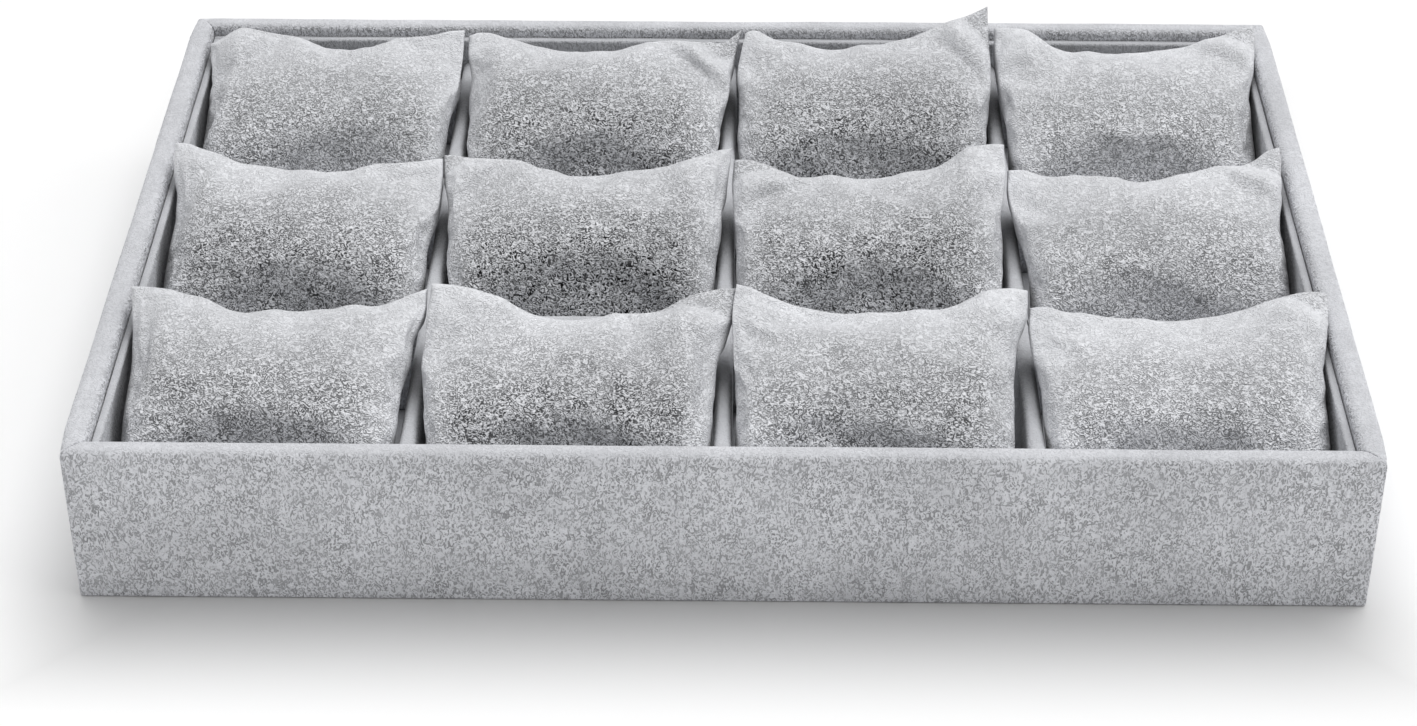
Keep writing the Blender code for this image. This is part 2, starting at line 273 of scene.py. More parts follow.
# How the top seam of each pillow runs, the front row first and each row from the left: how high it
# stands above the straight seam at each of the seam places, in millimetres. A fitting program outside
# this script worked these heights out, from points read by eye on the outlines in the picture.
SEAM_PLACES = (-1, -0.9, -0.75, -0.5, -0.25, 0, 0.25, 0.5, 0.75, 0.9, 1)
TOP_SEAMS = (
    (
        (7.0, 7.0, 6.0, 3.0, 0.0, 0.5, 1.0, 2.0, 3.0, 5.5, 7.0),
        (8.0, 7.5, 6.5, 3.0, -1.0, -2.0, -0.5, 0.5, 5.0, 7.0, 7.5),
        (9.0, 8.0, 5.5, 2.5, 1.0, 1.0, 1.5, 2.5, 6.5, 7.5, 7.0),
        (2.5, 3.0, 2.0, 0.5, 0.0, -0.5, 0.5, 3.0, 6.5, 7.5, 7.0),
    ),
    (
        (8.5, 8.0, 6.0, 2.5, 1.0, 0.5, 0.5, 2.0, 3.0, 3.5, 4.0),
        (5.0, 5.0, 4.0, 2.5, 0.5, -0.5, 0.5, 2.0, 5.5, 7.5, 8.5),
        (4.0, 4.0, 2.5, -1.0, -1.0, -1.0, 0.5, 3.0, 8.0, 9.5, 9.5),
        (1.5, 2.0, 0.5, -0.5, -1.0, -1.0, 0.5, 2.5, 4.5, 8.0, 9.0),
    ),
    (
        (1.0, 2.5, 6.0, 4.5, 2.5, 0.0, 0.5, 2.5, 4.5, 6.0, 6.5),
        (4.0, 5.0, 4.0, 1.5, 0.0, 0.0, 1.0, 2.5, 3.0, 2.5, 6.5),
        (5.5, 6.0, 4.0, 2.5, 1.5, 2.5, 3.5, 6.0, 10.5, 13.0, 15.0),
        (7.5, 7.5, 7.0, 1.0, 1.0, 1.0, 1.5, 3.0, 6.0, 8.5, 9.5),
    ),
)

# How the left and right side of each pillow run: how far each stands outside the side of its cell at
# each of the side places, which are shares of the way up, in millimetres. They come from the same kind
# of fitting, and many were changed in later edits.
SIDE_PLACES = (0.3, 0.5, 0.7, 0.8, 0.9, 1.0)
SIDE_SEAMS = (
    (
        ((-1.7, -1.4, -1.3, -0.6, 0.7, 2.2), (-3.3, -1.2, 0.4, 1.4, 3.3, 3.8)),
        ((0.4, 1.0, 1.9, 1.7, 1.3, 1.0), (-0.7, 0.0, 1.4, 3.2, 5.2, 6.5)),
        ((-1.2, -0.6, 0.2, 0.3, 0.2, -0.2), (-2.3, -1.8, -0.4, 0.6, 3.0, 3.7)),
        ((-1.8, -1.0, 0.3, 1.2, 1.9, 2.1), (-1.0, -0.4, 0.9, 2.0, 3.1, 4.0)),
    ),
    (
        ((-0.4, -0.7, -1.0, -0.7, 0.7, 1.4), (-2.0, -1.0, 0.6, 1.3, 1.6, 1.6)),
        ((0.4, 0.8, 1.4, 2.4, 3.6, 4.0), (-0.2, 0.2, 1.8, 2.8, 3.6, 5.0)),
        ((-0.5, -0.3, 0.3, 0.8, 1.0, 0.6), (-0.1, 0.2, 0.8, 1.6, 2.4, 2.4)),
        ((-2.6, -1.5, 0.7, 2.0, 3.0, 3.0), (-0.6, -0.8, -0.6, 0.2, 1.0, 0.9)),
    ),
    (
        ((-0.2, -0.3, -0.1, 0.3, 1.2, 1.7), (-1.8, -0.7, 1.1, 1.6, 2.0, 2.1)),
        ((0.3, 0.3, 1.0, 1.3, 2.2, 2.5), (0.6, 1.2, 3.2, 4.0, 5.0, 7.0)),
        ((-0.3, -0.2, -0.4, -0.4, -1.3, -2.4), (0.1, 0.4, 1.6, 1.9, 1.8, 1.9)),
        ((-1.8, -0.7, 0.7, 1.3, 1.7, 1.8), (-0.7, -0.7, 0.5, 1.6, 2.6, 2.9)),
    ),
)

# How each top corner is shaped, left and right, in millimetres: how much plumper its shoulder is, how
# far along the top and down the side a crease cuts it off as a flap, how deep the crease is as a share
# of the swell, and how far the tip leans back
PEAK = (1.0, 0.0, 0.0, 0.0, 0.0)
BROAD = (1.6, 0.0, 0.0, 0.0, 0.5)
LOBE = (2.6, 0.0, 0.0, 0.0, 0.5)
TOP_CORNERS = (
    (
        (BROAD, PEAK),
        (BROAD, (1.5, 20.0, 9.0, 0.45, 0.5)),
        (BROAD, LOBE),
        (BROAD, (2.0, 14.0, 8.0, 0.6, 0.5)),
    ),
    (
        (BROAD, PEAK),
        ((1.5, 8.0, 8.0, 0.6, 0.5), PEAK),
        ((2.5, 16.0, 8.0, 0.6, 0.5), BROAD),
        (BROAD, (2.5, 13.0, 9.0, 0.8, 1.0)),
    ),
    (
        (LOBE, PEAK),
        (BROAD, (3.0, 12.0, 10.0, 1.0, 1.5)),
        (BROAD, (2.5, 9.0, 12.0, 0.9, 1.0)),
        (LOBE, (2.0, 12.0, 8.0, 0.8, 0.5)),
    ),
)

# How open the pile of each pillow stands, and how much a painted light brightens its low belly, which lies
# in shade
OPENNESS = ((0.9, 1.0, 0.9, 0.7), (1.0, 1.15, 1.05, 0.75), (0.85, 1.0, 1.0, 0.7))
PAINTED_BELLY_LIGHT = 0.20


def add_object(name, mesh):
    obj = bpy.data.objects.new(name, mesh)
    bpy.context.scene.collection.objects.link(obj)
    return obj


def dress(obj, node, material):
    """Makes a piece stand for a node of the frame, with its material."""
    obj.data.materials.clear()
    obj.data.materials.append(material)
    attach(obj, BODY)
    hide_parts(node)


# Materials

class Nodes:
    """Short way to build a node tree."""

    def __init__(self, name):
        self.material = bpy.data.materials.new(name)
        self.material.use_nodes = True
        self.tree = self.material.node_tree
        self.shader = self.tree.nodes["Principled BSDF"]

    def add(self, kind, inputs=None, **settings):
        node = self.tree.nodes.new(kind)
        for key, value in settings.items():
            setattr(node, key, value)
        for key, value in (inputs or {}).items():
            self.put(node, key, value)
        return node

    def put(self, node, key, value):
        if isinstance(value, bpy.types.NodeSocket):
            self.tree.links.new(value, node.inputs[key])
        else:
            node.inputs[key].default_value = value

    def noise(self, place, scale, detail=2.0, roughness=0.5, distortion=0.0):
        inputs = {"Vector": place, "Scale": scale, "Detail": detail, "Roughness": roughness}
        inputs["Distortion"] = distortion
        return self.add("ShaderNodeTexNoise", inputs).outputs["Fac"]

    def math(self, operation, first, second=0.0, clamp=False):
        node = self.add("ShaderNodeMath", operation=operation, use_clamp=clamp)
        self.put(node, 0, first)
        self.put(node, 1, second)
        return node.outputs[0]

    def span(self, value, low, high, to_low=0.0, to_high=1.0):
        inputs = {"Value": value, "From Min": low, "From Max": high, "To Min": to_low, "To Max": to_high}
        return self.add("ShaderNodeMapRange", inputs, interpolation_type="SMOOTHSTEP").outputs[0]

    def mix(self, factor, first, second):
        node = self.add("ShaderNodeMix", data_type="RGBA")
        self.put(node, "Factor", factor)
        self.put(node, 6, first)
        self.put(node, 7, second)
        return node.outputs[2]


def velvet(name, colour, grain, warp, gap_edges, contrast, depth, painted_hollow_shade=1.0, opened=False):
    """Short-pile velvet: small tufts with dark gaps between them, and patches where the pile lies over.

    An opened one takes from its mesh how open the pile stands and how much painted light brightens it.
    """
    n = Nodes(name)
    place = n.add("ShaderNodeTexCoord").outputs["Object"]
    stretch = (1.0, 1.0, 1.0) if opened else TUFT_STRETCH
    stretched = n.add("ShaderNodeVectorMath", {0: place, 1: stretch}, operation="MULTIPLY").outputs[0]
    tufts = n.noise(stretched, 1 / grain, detail=0.0, distortion=warp)
    lay = n.noise(place, LAY_SCALE, detail=3.0, roughness=0.6, distortion=0.5)
    patches = n.noise(place, PATCH_SCALE, detail=4.0, roughness=0.6, distortion=0.5)
    if opened:
        # Pillows: the mesh holds how open the pile stands and the painted light over the low belly
        pile_and_gap_shade_spread = n.add("ShaderNodeAttribute", attribute_name="pile").outputs["Fac"]
        painted_light_and_shade = n.add("ShaderNodeAttribute", attribute_name="nap").outputs["Fac"]
    else:
        # Covers and liners: faces that look up get fewer dark gaps and a painted shade over all
        normal = n.add("ShaderNodeNewGeometry").outputs["Normal"]
        facing = n.add("ShaderNodeSeparateXYZ", {0: normal}).outputs["Z"]
        pile_and_gap_shade_spread = n.span(facing, *FACING_PILE_AND_GAP_SHADE)
        painted_light_and_shade = n.span(facing, *FACING_PAINTED_SHADE)
    open_pile_and_gap_shade = n.math("MULTIPLY", n.span(lay, *LAY_OPENS), pile_and_gap_shade_spread)
    patch_and_painted_tone = n.math("MULTIPLY", n.span(patches, *PATCH_TONES), n.span(lay, *LAY_TONES))
    # Random patches of lay, then the painted light and painted shade over them
    patch_and_painted_tone = n.math("MULTIPLY", patch_and_painted_tone, painted_light_and_shade)
    if painted_hollow_shade < 1:
        # Painted shade: the base colour darkens in narrow hollows between the pieces
        painted_shade_hollows = n.add("ShaderNodeAmbientOcclusion", {"Distance": PAINTED_SHADE_REACH}, samples=PAINTED_SHADE_SAMPLES)
        left = n.span(painted_shade_hollows.outputs["AO"], *PAINTED_SHADE_EDGES, painted_hollow_shade, 1.0)
        patch_and_painted_tone = n.math("MULTIPLY", patch_and_painted_tone, left)
    # The dark gaps between the tufts: partly the pile's grain, partly painted shade between them
    gaps = n.math("MULTIPLY", n.span(tufts, *gap_edges), open_pile_and_gap_shade)
    tone = n.math("SUBTRACT", 1.0, n.math("MULTIPLY", gaps, contrast), clamp=True)
    toned = n.add("ShaderNodeVectorMath", operation="SCALE")
    n.put(toned, 0, colour)
    n.put(toned, "Scale", n.math("MULTIPLY", tone, patch_and_painted_tone))
    n.put(n.shader, "Base Color", toned.outputs[0])
    pile_height = n.math("ADD", n.math("MULTIPLY", open_pile_and_gap_shade, 1 - LEAST_PILE_HEIGHT), LEAST_PILE_HEIGHT)
    height = n.math("MULTIPLY", tufts, pile_height)
    raised = n.add("ShaderNodeBump", {"Height": height, "Strength": 1.0, "Distance": depth})
    n.put(n.shader, "Normal", raised.outputs[0])
    for key, value in VELVET_SURFACE.items():
        n.put(n.shader, key, value)
    return n.material


def fibreboard(name):
    """Pressed board with short fibres."""
    n = Nodes(name)
    place = n.add("ShaderNodeTexCoord").outputs["Object"]
    fibres = n.noise(place, BOARD_FIBRE_SCALE, detail=4.0, roughness=0.6, distortion=1.0)
    clouds = n.span(n.noise(place, BOARD_CLOUD_SCALE), *CLOUD_LEVELS, to_low=BOARD_CLOUD_TONE)
    tone = n.math("MULTIPLY", n.span(fibres, *CLOUD_LEVELS), clouds)
    n.put(n.shader, "Base Color", n.mix(tone, *BOARD_COLOURS))
    n.put(n.shader, "Roughness", 0.85)
    raised = n.add("ShaderNodeBump", {"Height": fibres, "Strength": 0.3, "Distance": 0.0003})
    n.put(n.shader, "Normal", raised.outputs[0])
    return n.material


def lining(name):
    """Matt lining paper with an embossed leather grain, as under such trays."""
    n = Nodes(name)
    place = n.add("ShaderNodeTexCoord").outputs["Object"]
    inputs = {"Vector": place, "Scale": LINING_CELL_SCALE}
    cells = n.add("ShaderNodeTexVoronoi", inputs, feature="DISTANCE_TO_EDGE")
    grain = n.span(cells.outputs["Distance"], 0.0, LINING_CELL_RIM)
    clouds = n.span(n.noise(place, LINING_CLOUD_SCALE), *CLOUD_LEVELS, to_low=LINING_CLOUD_TONE)
    tone = n.math("MULTIPLY", grain, clouds)
    n.put(n.shader, "Base Color", n.mix(tone, *LINING_COLOURS))
    n.put(n.shader, "Roughness", 0.8)
    raised = n.add("ShaderNodeBump", {"Height": grain, "Strength": 0.5, "Distance": 0.0002})
    n.put(n.shader, "Normal", raised.outputs[0])
    return n.material


# Covers

def arc(centre, radius, start, end, steps):
    """Points of an arc, its start and end in degrees."""
    points = []
    for i in range(steps + 1):
        angle = math.radians(start + (end - start) * i / steps)
        points.append((centre[0] + radius * math.cos(angle), centre[1] + radius * math.sin(angle)))
    return points


def fill_line(points, step):
    """Adds points so that none are further apart than a step."""
    filled = [points[0]]
    for start, end in zip(points, points[1:]):
        pieces = max(1, math.ceil(math.dist(start, end) / step))
        for i in range(1, pieces + 1):
            share = i / pieces
            filled.append(tuple(s + (e - s) * share for s, e in zip(start, end)))
    return filled


def cover_line(thickness, height, skirt_end):
    """Outer surface of a cover in section, as (distance in, height), with its outward normals."""
    outer = (RIM_RADIUS, height - RIM_RADIUS)
    inner = (thickness - RIM_RADIUS, height - RIM_RADIUS)
    line = [(TURN_UNDER, 0.0)]
    line += arc((VELVET, VELVET), VELVET, 270, 180, FOOT_STEPS)
    line += arc(outer, RIM_RADIUS, 180, 90, RIM_STEPS)
    line += arc(inner, RIM_RADIUS, 90, 0, RIM_STEPS)
    line.append((thickness, skirt_end))
    line = fill_line(line, COVER_STEP)
    normals = []
    for i, _ in enumerate(line):
        before, after = line[max(0, i - 1)], line[min(len(line) - 1, i + 1)]
        along = Vector((after[0] - before[0], after[1] - before[1])).normalized()
        normals.append((-along.y, along.x))
    return line, normals


def uneven(point, seed, sizes):
    """Soft unevenness: a sum of noises, each with its own spacing and depth."""
    shift = Vector([share * seed for share in SEED_SHIFTS])
    total = 0.0
    for spacing, depth in sizes:
        total += depth * noise.noise(point / spacing + shift)
    return total


def cover_piece(side, material, seed):
    """One velvet wrap over a wall, its ends tucked into the mitres at the corners."""
    low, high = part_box(f"{side}_cover")
    half_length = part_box("right_cover")[1][0] if side in LONG_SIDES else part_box("back_cover")[1][1]
    distance = {"front": -low[1], "back": high[1], "left": -low[0], "right": high[0]}[side]
    board_low, board_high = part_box(f"{side}_wall_board")
    across = 1 if side in LONG_SIDES else 0
    thickness = (board_high[across] - board_low[across]) + 2 * (SEAT_GAP + VELVET)
    line, normals = cover_line(thickness, high[2], board_low[2])
    half_arc = UPRIGHT_RADIUS * math.pi / 4

    def ring(to_end, tuck, sign):
        """Section a given distance from the mitre, sunk by tuck along its normals."""
        points = []
        for (depth, up), (out_depth, out_up) in zip(line, normals):
            if depth < UPRIGHT_RADIUS:
                radius = UPRIGHT_RADIUS - depth
                turn = math.pi / 4 * max(0.0, 1 - to_end / half_arc)
                straight = max(0.0, to_end - half_arc)
                along = half_length - UPRIGHT_RADIUS - straight + radius * math.sin(turn)
                inward = UPRIGHT_RADIUS - radius * math.cos(turn)
                sink_along, sink_in = math.sin(turn) * out_depth, math.cos(turn) * out_depth
            else:
                along = half_length - depth - to_end
                inward = depth
                sink_along, sink_in = 0.0, out_depth
            along -= MITRE_HALF_GAP * math.sqrt(2)
            on_rim, upright = TUCKS[SIDE_ENDS[side][0 if sign < 0 else 1]]
            sunk = tuck * (on_rim if up > high[2] - RIM_TUCK_FROM else upright)
            points.append((sign * (along + sunk * sink_along), inward - sunk * sink_in, up - sunk * out_up))
        return points

    end_rings = [(TUCK_WIDTH * to_end, TUCK_DEPTH * tuck) for to_end, tuck in TUCK_FORM]
    end_rings += [(TUCK_WIDTH * i / 2, 0.0) for i in range(1, TUCK_RINGS + 1)]
    rings = [ring(to_end, tuck, -1) for to_end, tuck in end_rings]
    straight_from = end_rings[-1][0]
    middle_steps = max(2, round(2 * (half_length - thickness - straight_from) / COVER_STEP))
    first = np.array(rings[-1])
    last = np.array(ring(straight_from, 0.0, 1))
    for i in range(1, middle_steps):
        share = i / middle_steps
        rings.append([tuple(p) for p in first + (last - first) * share])
    rings += [ring(to_end, tuck, 1) for to_end, tuck in reversed(end_rings)]

    bm = bmesh.new()
    turn = Matrix.Rotation(SIDE_TURNS[side], 3, "Z")
    offset = Vector((0.0, -distance, 0.0))
    grid = [[bm.verts.new(turn @ (Vector(p) + offset)) for p in points] for points in rings]
    for left, right in zip(grid, grid[1:]):
        for i in range(len(line) - 1):
            bm.faces.new((left[i], left[i + 1], right[i + 1], right[i]))
    bm.normal_update()
    for points in grid[len(end_rings):-len(end_rings)]:
        for vert, (depth, up) in zip(points, line):
            if up > VELVET:
                vert.co += vert.normal * uneven(vert.co, seed, COVER_UNEVEN)
            if side not in LONG_SIDES:
                to_end = max(0.0, half_length - abs((turn.inverted() @ vert.co).x))
                share = min(1.0, to_end / PUFF_END) * max(0.0, 1 - depth / thickness)
                share *= min(1.0, max(0.0, up / PUFF_FROM - PUFF_FLAT_SHARE))
                vert.co += turn @ Vector((0.0, -PUFF * share, 0.0))
    bmesh.ops.remove_doubles(bm, verts=bm.verts, dist=MERGE_DISTANCE)
    mesh = bpy.data.meshes.new(f"{side}_velvet")
    bm.to_mesh(mesh)
    bm.free()
    mesh.shade_smooth()
    obj = add_object(f"{side}_velvet", mesh)
    dress(obj, f"{side}_cover", material)


# Liners and dividers

def strip_piece(node, along_axis, seed, wall_side=0):
    """A velvet-faced strip with a soft rounded top, as long and as high as its node.

    A wall side of -1 or 1 marks the low or high side that stands against a wall, rounded less.
    """
    low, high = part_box(node)
    across_axis = 1 - along_axis
    thickness = high[across_axis] - low[across_axis]
    low_radius = (WALL_SIDE_ROUNDING if wall_side < 0 else STRIP_ROUNDING) * thickness
    high_radius = (WALL_SIDE_ROUNDING if wall_side > 0 else STRIP_ROUNDING) * thickness
    top = high[2]
    section = [(0.0, low[2])]
    section += arc((low_radius, top - low_radius), low_radius, 180, 90, STRIP_TOP_STEPS)
    section += arc((thickness - high_radius, top - high_radius), high_radius, 90, 0, STRIP_TOP_STEPS)
    section.append((thickness, low[2]))
    section = fill_line(section, STRIP_STEP)
    steps = max(2, round((high[along_axis] - low[along_axis]) / STRIP_STEP))
    bm = bmesh.new()
    rings = []
    for i in range(steps + 1):
        along = low[along_axis] + (high[along_axis] - low[along_axis]) * i / steps
        ring = []
        for across, up in section:
            point = [0.0, 0.0, up]
            point[along_axis] = along
            point[across_axis] = low[across_axis] + across
            ring.append(bm.verts.new(point))
        rings.append(ring)
    count = len(section)
    for ring, following in zip(rings, rings[1:]):
        for i in range(count):
            j = (i + 1) % count
            bm.faces.new((ring[i], ring[j], following[j], following[i]))
    bm.faces.new(rings[0][::-1])
    bm.faces.new(rings[-1])
    bmesh.ops.recalc_face_normals(bm, faces=bm.faces)
    for ring in rings:
        for vert in ring:
            if vert.co.z > top - 2 * thickness:
                vert.co.z += uneven(vert.co, seed, STRIP_UNEVEN) - STRIP_SETTLED
    mesh = bpy.data.meshes.new(f"{node}_velvet")
    bm.to_mesh(mesh)
    bm.free()
    mesh.shade_smooth()
    mesh.set_sharp_from_angle(angle=SHARP_ANGLE)
    return add_object(f"{node}_velvet", mesh)


def cut_notches(obj, along_axis, others, from_height, to_height):
    """Cuts the half-lap slots where the other dividers pass."""
    bm = bmesh.new()
    own_low, own_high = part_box(obj.name.removesuffix("_velvet"))
    for other in others:
        other_low, other_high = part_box(other)
        corner_a = [own_low[0] - CUT_OVER, own_low[1] - CUT_OVER, from_height]
        corner_b = [own_high[0] + CUT_OVER, own_high[1] + CUT_OVER, to_height]
        corner_a[along_axis] = other_low[along_axis] - SEAT_GAP
        corner_b[along_axis] = other_high[along_axis] + SEAT_GAP
        size = Vector(corner_b) - Vector(corner_a)
        middle = (Vector(corner_b) + Vector(corner_a)) / 2
        matrix = Matrix.Translation(middle) @ Matrix.Diagonal((*size, 1.0))
        bmesh.ops.create_cube(bm, size=1.0, matrix=matrix)
    mesh = bpy.data.meshes.new("cutter")
    bm.to_mesh(mesh)
    bm.free()
    cutter = add_object("cutter", mesh)
    cut = obj.modifiers.new("notches", "BOOLEAN")
    cut.operation = "DIFFERENCE"
    cut.solver = "EXACT"
    cut.object = cutter
    made = bpy.data.meshes.new_from_object(obj.evaluated_get(bpy.context.evaluated_depsgraph_get()))
    obj.modifiers.clear()
    obj.data = made
    bpy.data.objects.remove(cutter, do_unlink=True)


def lean(obj, at_front, at_back):
    """Leans the upper half of a long divider sideways, between the notches and the top."""
    low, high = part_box(obj.name.removesuffix("_velvet"))
    for vert in obj.data.vertices:
        up = max(0.0, 2 * (vert.co.z - low[2]) / (high[2] - low[2]) - 1)
        along = (vert.co.y - low[1]) / (high[1] - low[1])
        vert.co.x += up * (at_front + (at_back - at_front) * along)


def make_strips(material):
    """The liners, and the dividers with their half laps."""
    seed = STRIP_FIRST_SEED
    for side in SIDE_TURNS:
        node = f"{side}_liner"
        wall_side = -1 if side in ("front", "left") else 1
        obj = strip_piece(node, 0 if side in LONG_SIDES else 1, seed, wall_side)
        dress(obj, node, material)
        seed += STRIP_SEED_STEP
    long_names = [f"long_divider_{i}" for i in range(1, COLUMNS)]
    cross_names = [f"cross_divider_{i}" for i in range(1, ROWS)]
    low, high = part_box(long_names[0])
    lap = (low[2] + high[2]) / 2
    for node in long_names:
        obj = strip_piece(node, 1, seed)
        cut_notches(obj, 1, cross_names, low[2] - CUT_OVER, lap + SEAT_GAP / 2)
        lean(obj, *LEANS.get(node, (0.0, 0.0)))
        dress(obj, node, material)
        seed += STRIP_SEED_STEP
    for node in cross_names:
        obj = strip_piece(node, 0, seed)
        cut_notches(obj, 0, long_names, lap - SEAT_GAP / 2, high[2] + CUT_OVER)
        dress(obj, node, material)
        seed += STRIP_SEED_STEP


# Pillows

def cell_of(row, column):
    """Lowest and highest corner of a cell, and the heights of the strips at its left and right."""
    left = "left_liner" if column == 1 else f"long_divider_{column - 1}"
    right = "right_liner" if column == COLUMNS else f"long_divider_{column}"
    front = "front_liner" if row == 1 else f"cross_divider_{row - 1}"
    back = "back_liner" if row == ROWS else f"cross_divider_{row}"
    low = Vector((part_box(left)[1][0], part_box(front)[1][1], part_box("floor_pad")[1][2]))
    high = Vector((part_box(right)[0][0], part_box(back)[0][1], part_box("front_cover")[1][2]))
    return low, high, (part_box(left)[1][2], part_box(right)[1][2])


def curve_through(places, values, at):
    """Smooth curve through values in millimetres at their places, in metres."""
    places = np.array(places, float)
    values = np.array(values, float)
    gaps = np.diff(places)
    slopes = np.diff(values) / gaps
    turns = np.concatenate(([slopes[0]], (slopes[:-1] + slopes[1:]) / 2, [slopes[-1]]))
    i = np.clip(np.searchsorted(places, at) - 1, 0, len(places) - 2)
    t = (at - places[i]) / gaps[i]
    start = (1 + 2 * t) * (1 - t) ** 2 * values[i] + t * (1 - t) ** 2 * gaps[i] * turns[i]
    end = t * t * (3 - 2 * t) * values[i + 1] + t * t * (t - 1) * gaps[i] * turns[i + 1]
    return (start + end) * MM


def corner_form(a, b, corners, half_width, half_length):
    """Shape of the top corners: how plump, the share of the swell that is left, the flaps, how far back."""
    plump_shoulders = np.zeros_like(a)
    left = np.ones_like(a)
    flap = np.zeros_like(a)
    leaning = np.zeros_like(a)
    for side, (plump, along_top, down_side, depth, back) in zip((-1, 1), corners):
        in_side = (1 - side * a) * half_width / MM
        in_top = (1 - b) * half_length / MM
        if along_top:
            length = math.hypot(along_top, down_side)
            past = (in_side / along_top + in_top / down_side - 1) * along_top * down_side / length
            along = ((in_side - along_top / 2) * along_top - (in_top - down_side / 2) * down_side) / length
            rise = np.clip(past * MM / SHOULDER_RADIUS, 0, 1)
            left *= 1 - depth * (1 - np.sqrt(1 - (1 - rise) ** 2))
            flap = np.maximum(flap, np.clip(-past, 0, 1))
            across_bump = (past - CREASE_BUMP) / CREASE_BUMP
            along_bump = along / (CREASE_BUMP_SHARE * length)
            plump_shoulders += plump * MM * np.exp(-(across_bump**2) - along_bump**2) * (past > 0)
            leaning += back * MM * np.clip(-past / (along_top * down_side / length), 0, 1)
        else:
            across_bump = (in_side - SHOULDER_IN) / SHOULDER_SPREAD
            down_bump = (in_top - SHOULDER_DOWN) / SHOULDER_SPREAD
            plump_shoulders += plump * MM * np.exp(-(across_bump**2) - down_bump**2)
            leaning += back * MM * np.clip(1 - (in_side + in_top) / TIP_REACH, 0, 1)
    return plump_shoulders, left, flap, leaning


def side_offsets(side_seams, up_share):
    """How far the left and the right side stand outside the cell at shares of the way up."""
    at = np.maximum(up_share, SIDE_PLACES[0])
    return [curve_through(SIDE_PLACES, seam, at) for seam in side_seams]


def pillow_points(a, b, face, form, cell):
    """Points of a pillow in the frame: a runs left to right, b up the seams, face is 1 on top, -1 below."""
    low, high = cell[:2]
    top_seam, side_seams, corners = form
    up_share = (1 + b) / 2
    width = high.x - low.x
    run = high.y - low.y - UPPER_SEAM_BACK_ROOM - LOWER_SEAM_IN
    climb = high.z + UPPER_SEAM_OVER_RIM - low.z - SEAT_GAP - LOWER_SEAM_UP
    slope = math.atan2(climb, run)
    length = math.hypot(run, climb)

    left_side, right_side = side_offsets(side_seams, up_share)
    x = a * width / 2 + a * np.abs(a) * np.where(a < 0, left_side, right_side)

    rise = curve_through(SEAM_PLACES, top_seam, a) * up_share**3
    drop = LOW_CORNER_DROP * a * a * (1 - up_share) ** 3
    along = up_share * length - drop
    y = LOWER_SEAM_IN + along * math.cos(slope) + rise * math.sin(EAR_LEAN)
    z = LOWER_SEAM_UP + along * math.sin(slope) + rise * math.cos(EAR_LEAN)

    lift = SIDE_LIFT * a * a * up_share * (1 - up_share) ** 2 * SIDE_LIFT_SCALE
    sagged = b + BELLY_SAG * (1 - b * b)
    crown = CROWN + (CORNER_CROWN - CROWN) * a**4
    full = HALF_THICKNESS * (1 - a * a) ** FULLNESS * np.clip(1 - sagged * sagged, 0, None) ** crown
    to_side = (1 - np.abs(a)) * width / 2
    to_end = (1 - np.abs(b)) * length / 2
    edge = np.clip(np.minimum(to_side, to_end) / (SEAM_ROUNDING * SEAM_HALF_THICKNESS), 0, 1)
    rounding = SEAM_HALF_THICKNESS * np.sqrt(1 - (1 - edge) ** 2)
    plump_shoulders, left, flap, leaning = corner_form(a, b, corners, width / 2, length / 2)
    if face > 0:
        swell = np.hypot(full * left, rounding * (1 - FLAP_THINNING * flap)) + plump_shoulders * edge
    else:
        swell = np.hypot(full, rounding)
    swell = lift + face * swell
    x = (low.x + high.x) / 2 + x
    y = low.y + y - swell * math.sin(slope) + leaning
    z = low.z + SEAT_GAP + z + swell * math.cos(slope)
    return np.stack([x, y, z], axis=-1)


def settle(points, cell, side_seams, b):
    """Keeps a pillow in its cell. Over the strips at its sides it may spread as far as its side seams."""
    low, high, tops = cell
    middle = (low.x + high.x) / 2
    for sign, top, seam in zip((-1, 1), tops, side_offsets(side_seams, (1 + b) / 2)):
        above = np.clip(points[..., 2] - top, 0, None)
        reach = (high.x - low.x) / 2 + np.minimum(2 * above - CLEARANCE, seam + SEAM_ROOM)
        offset = sign * (points[..., 0] - middle)
        free = reach - SOFT_LIMIT
        held = free + SOFT_LIMIT * np.tanh((offset - free) / SOFT_LIMIT)
        points[..., 0] = np.where(offset > free, middle + sign * held, points[..., 0])
    points[..., 1] = np.clip(points[..., 1], low.y + CLEARANCE, high.y - CLEARANCE)
    points[..., 2] = np.maximum(points[..., 2], low.z + SEAT_GAP)
    return points


def spread(steps):
    """Grid lines from -1 to 1, closer together near the seams."""
    even = np.linspace(-1, 1, steps + 1)
    return 0.5 * even + 0.5 * np.sin(np.pi / 2 * even)


def on_seam(i, j):
    return i in (0, ACROSS_STEPS) or j in (0, UP_STEPS)


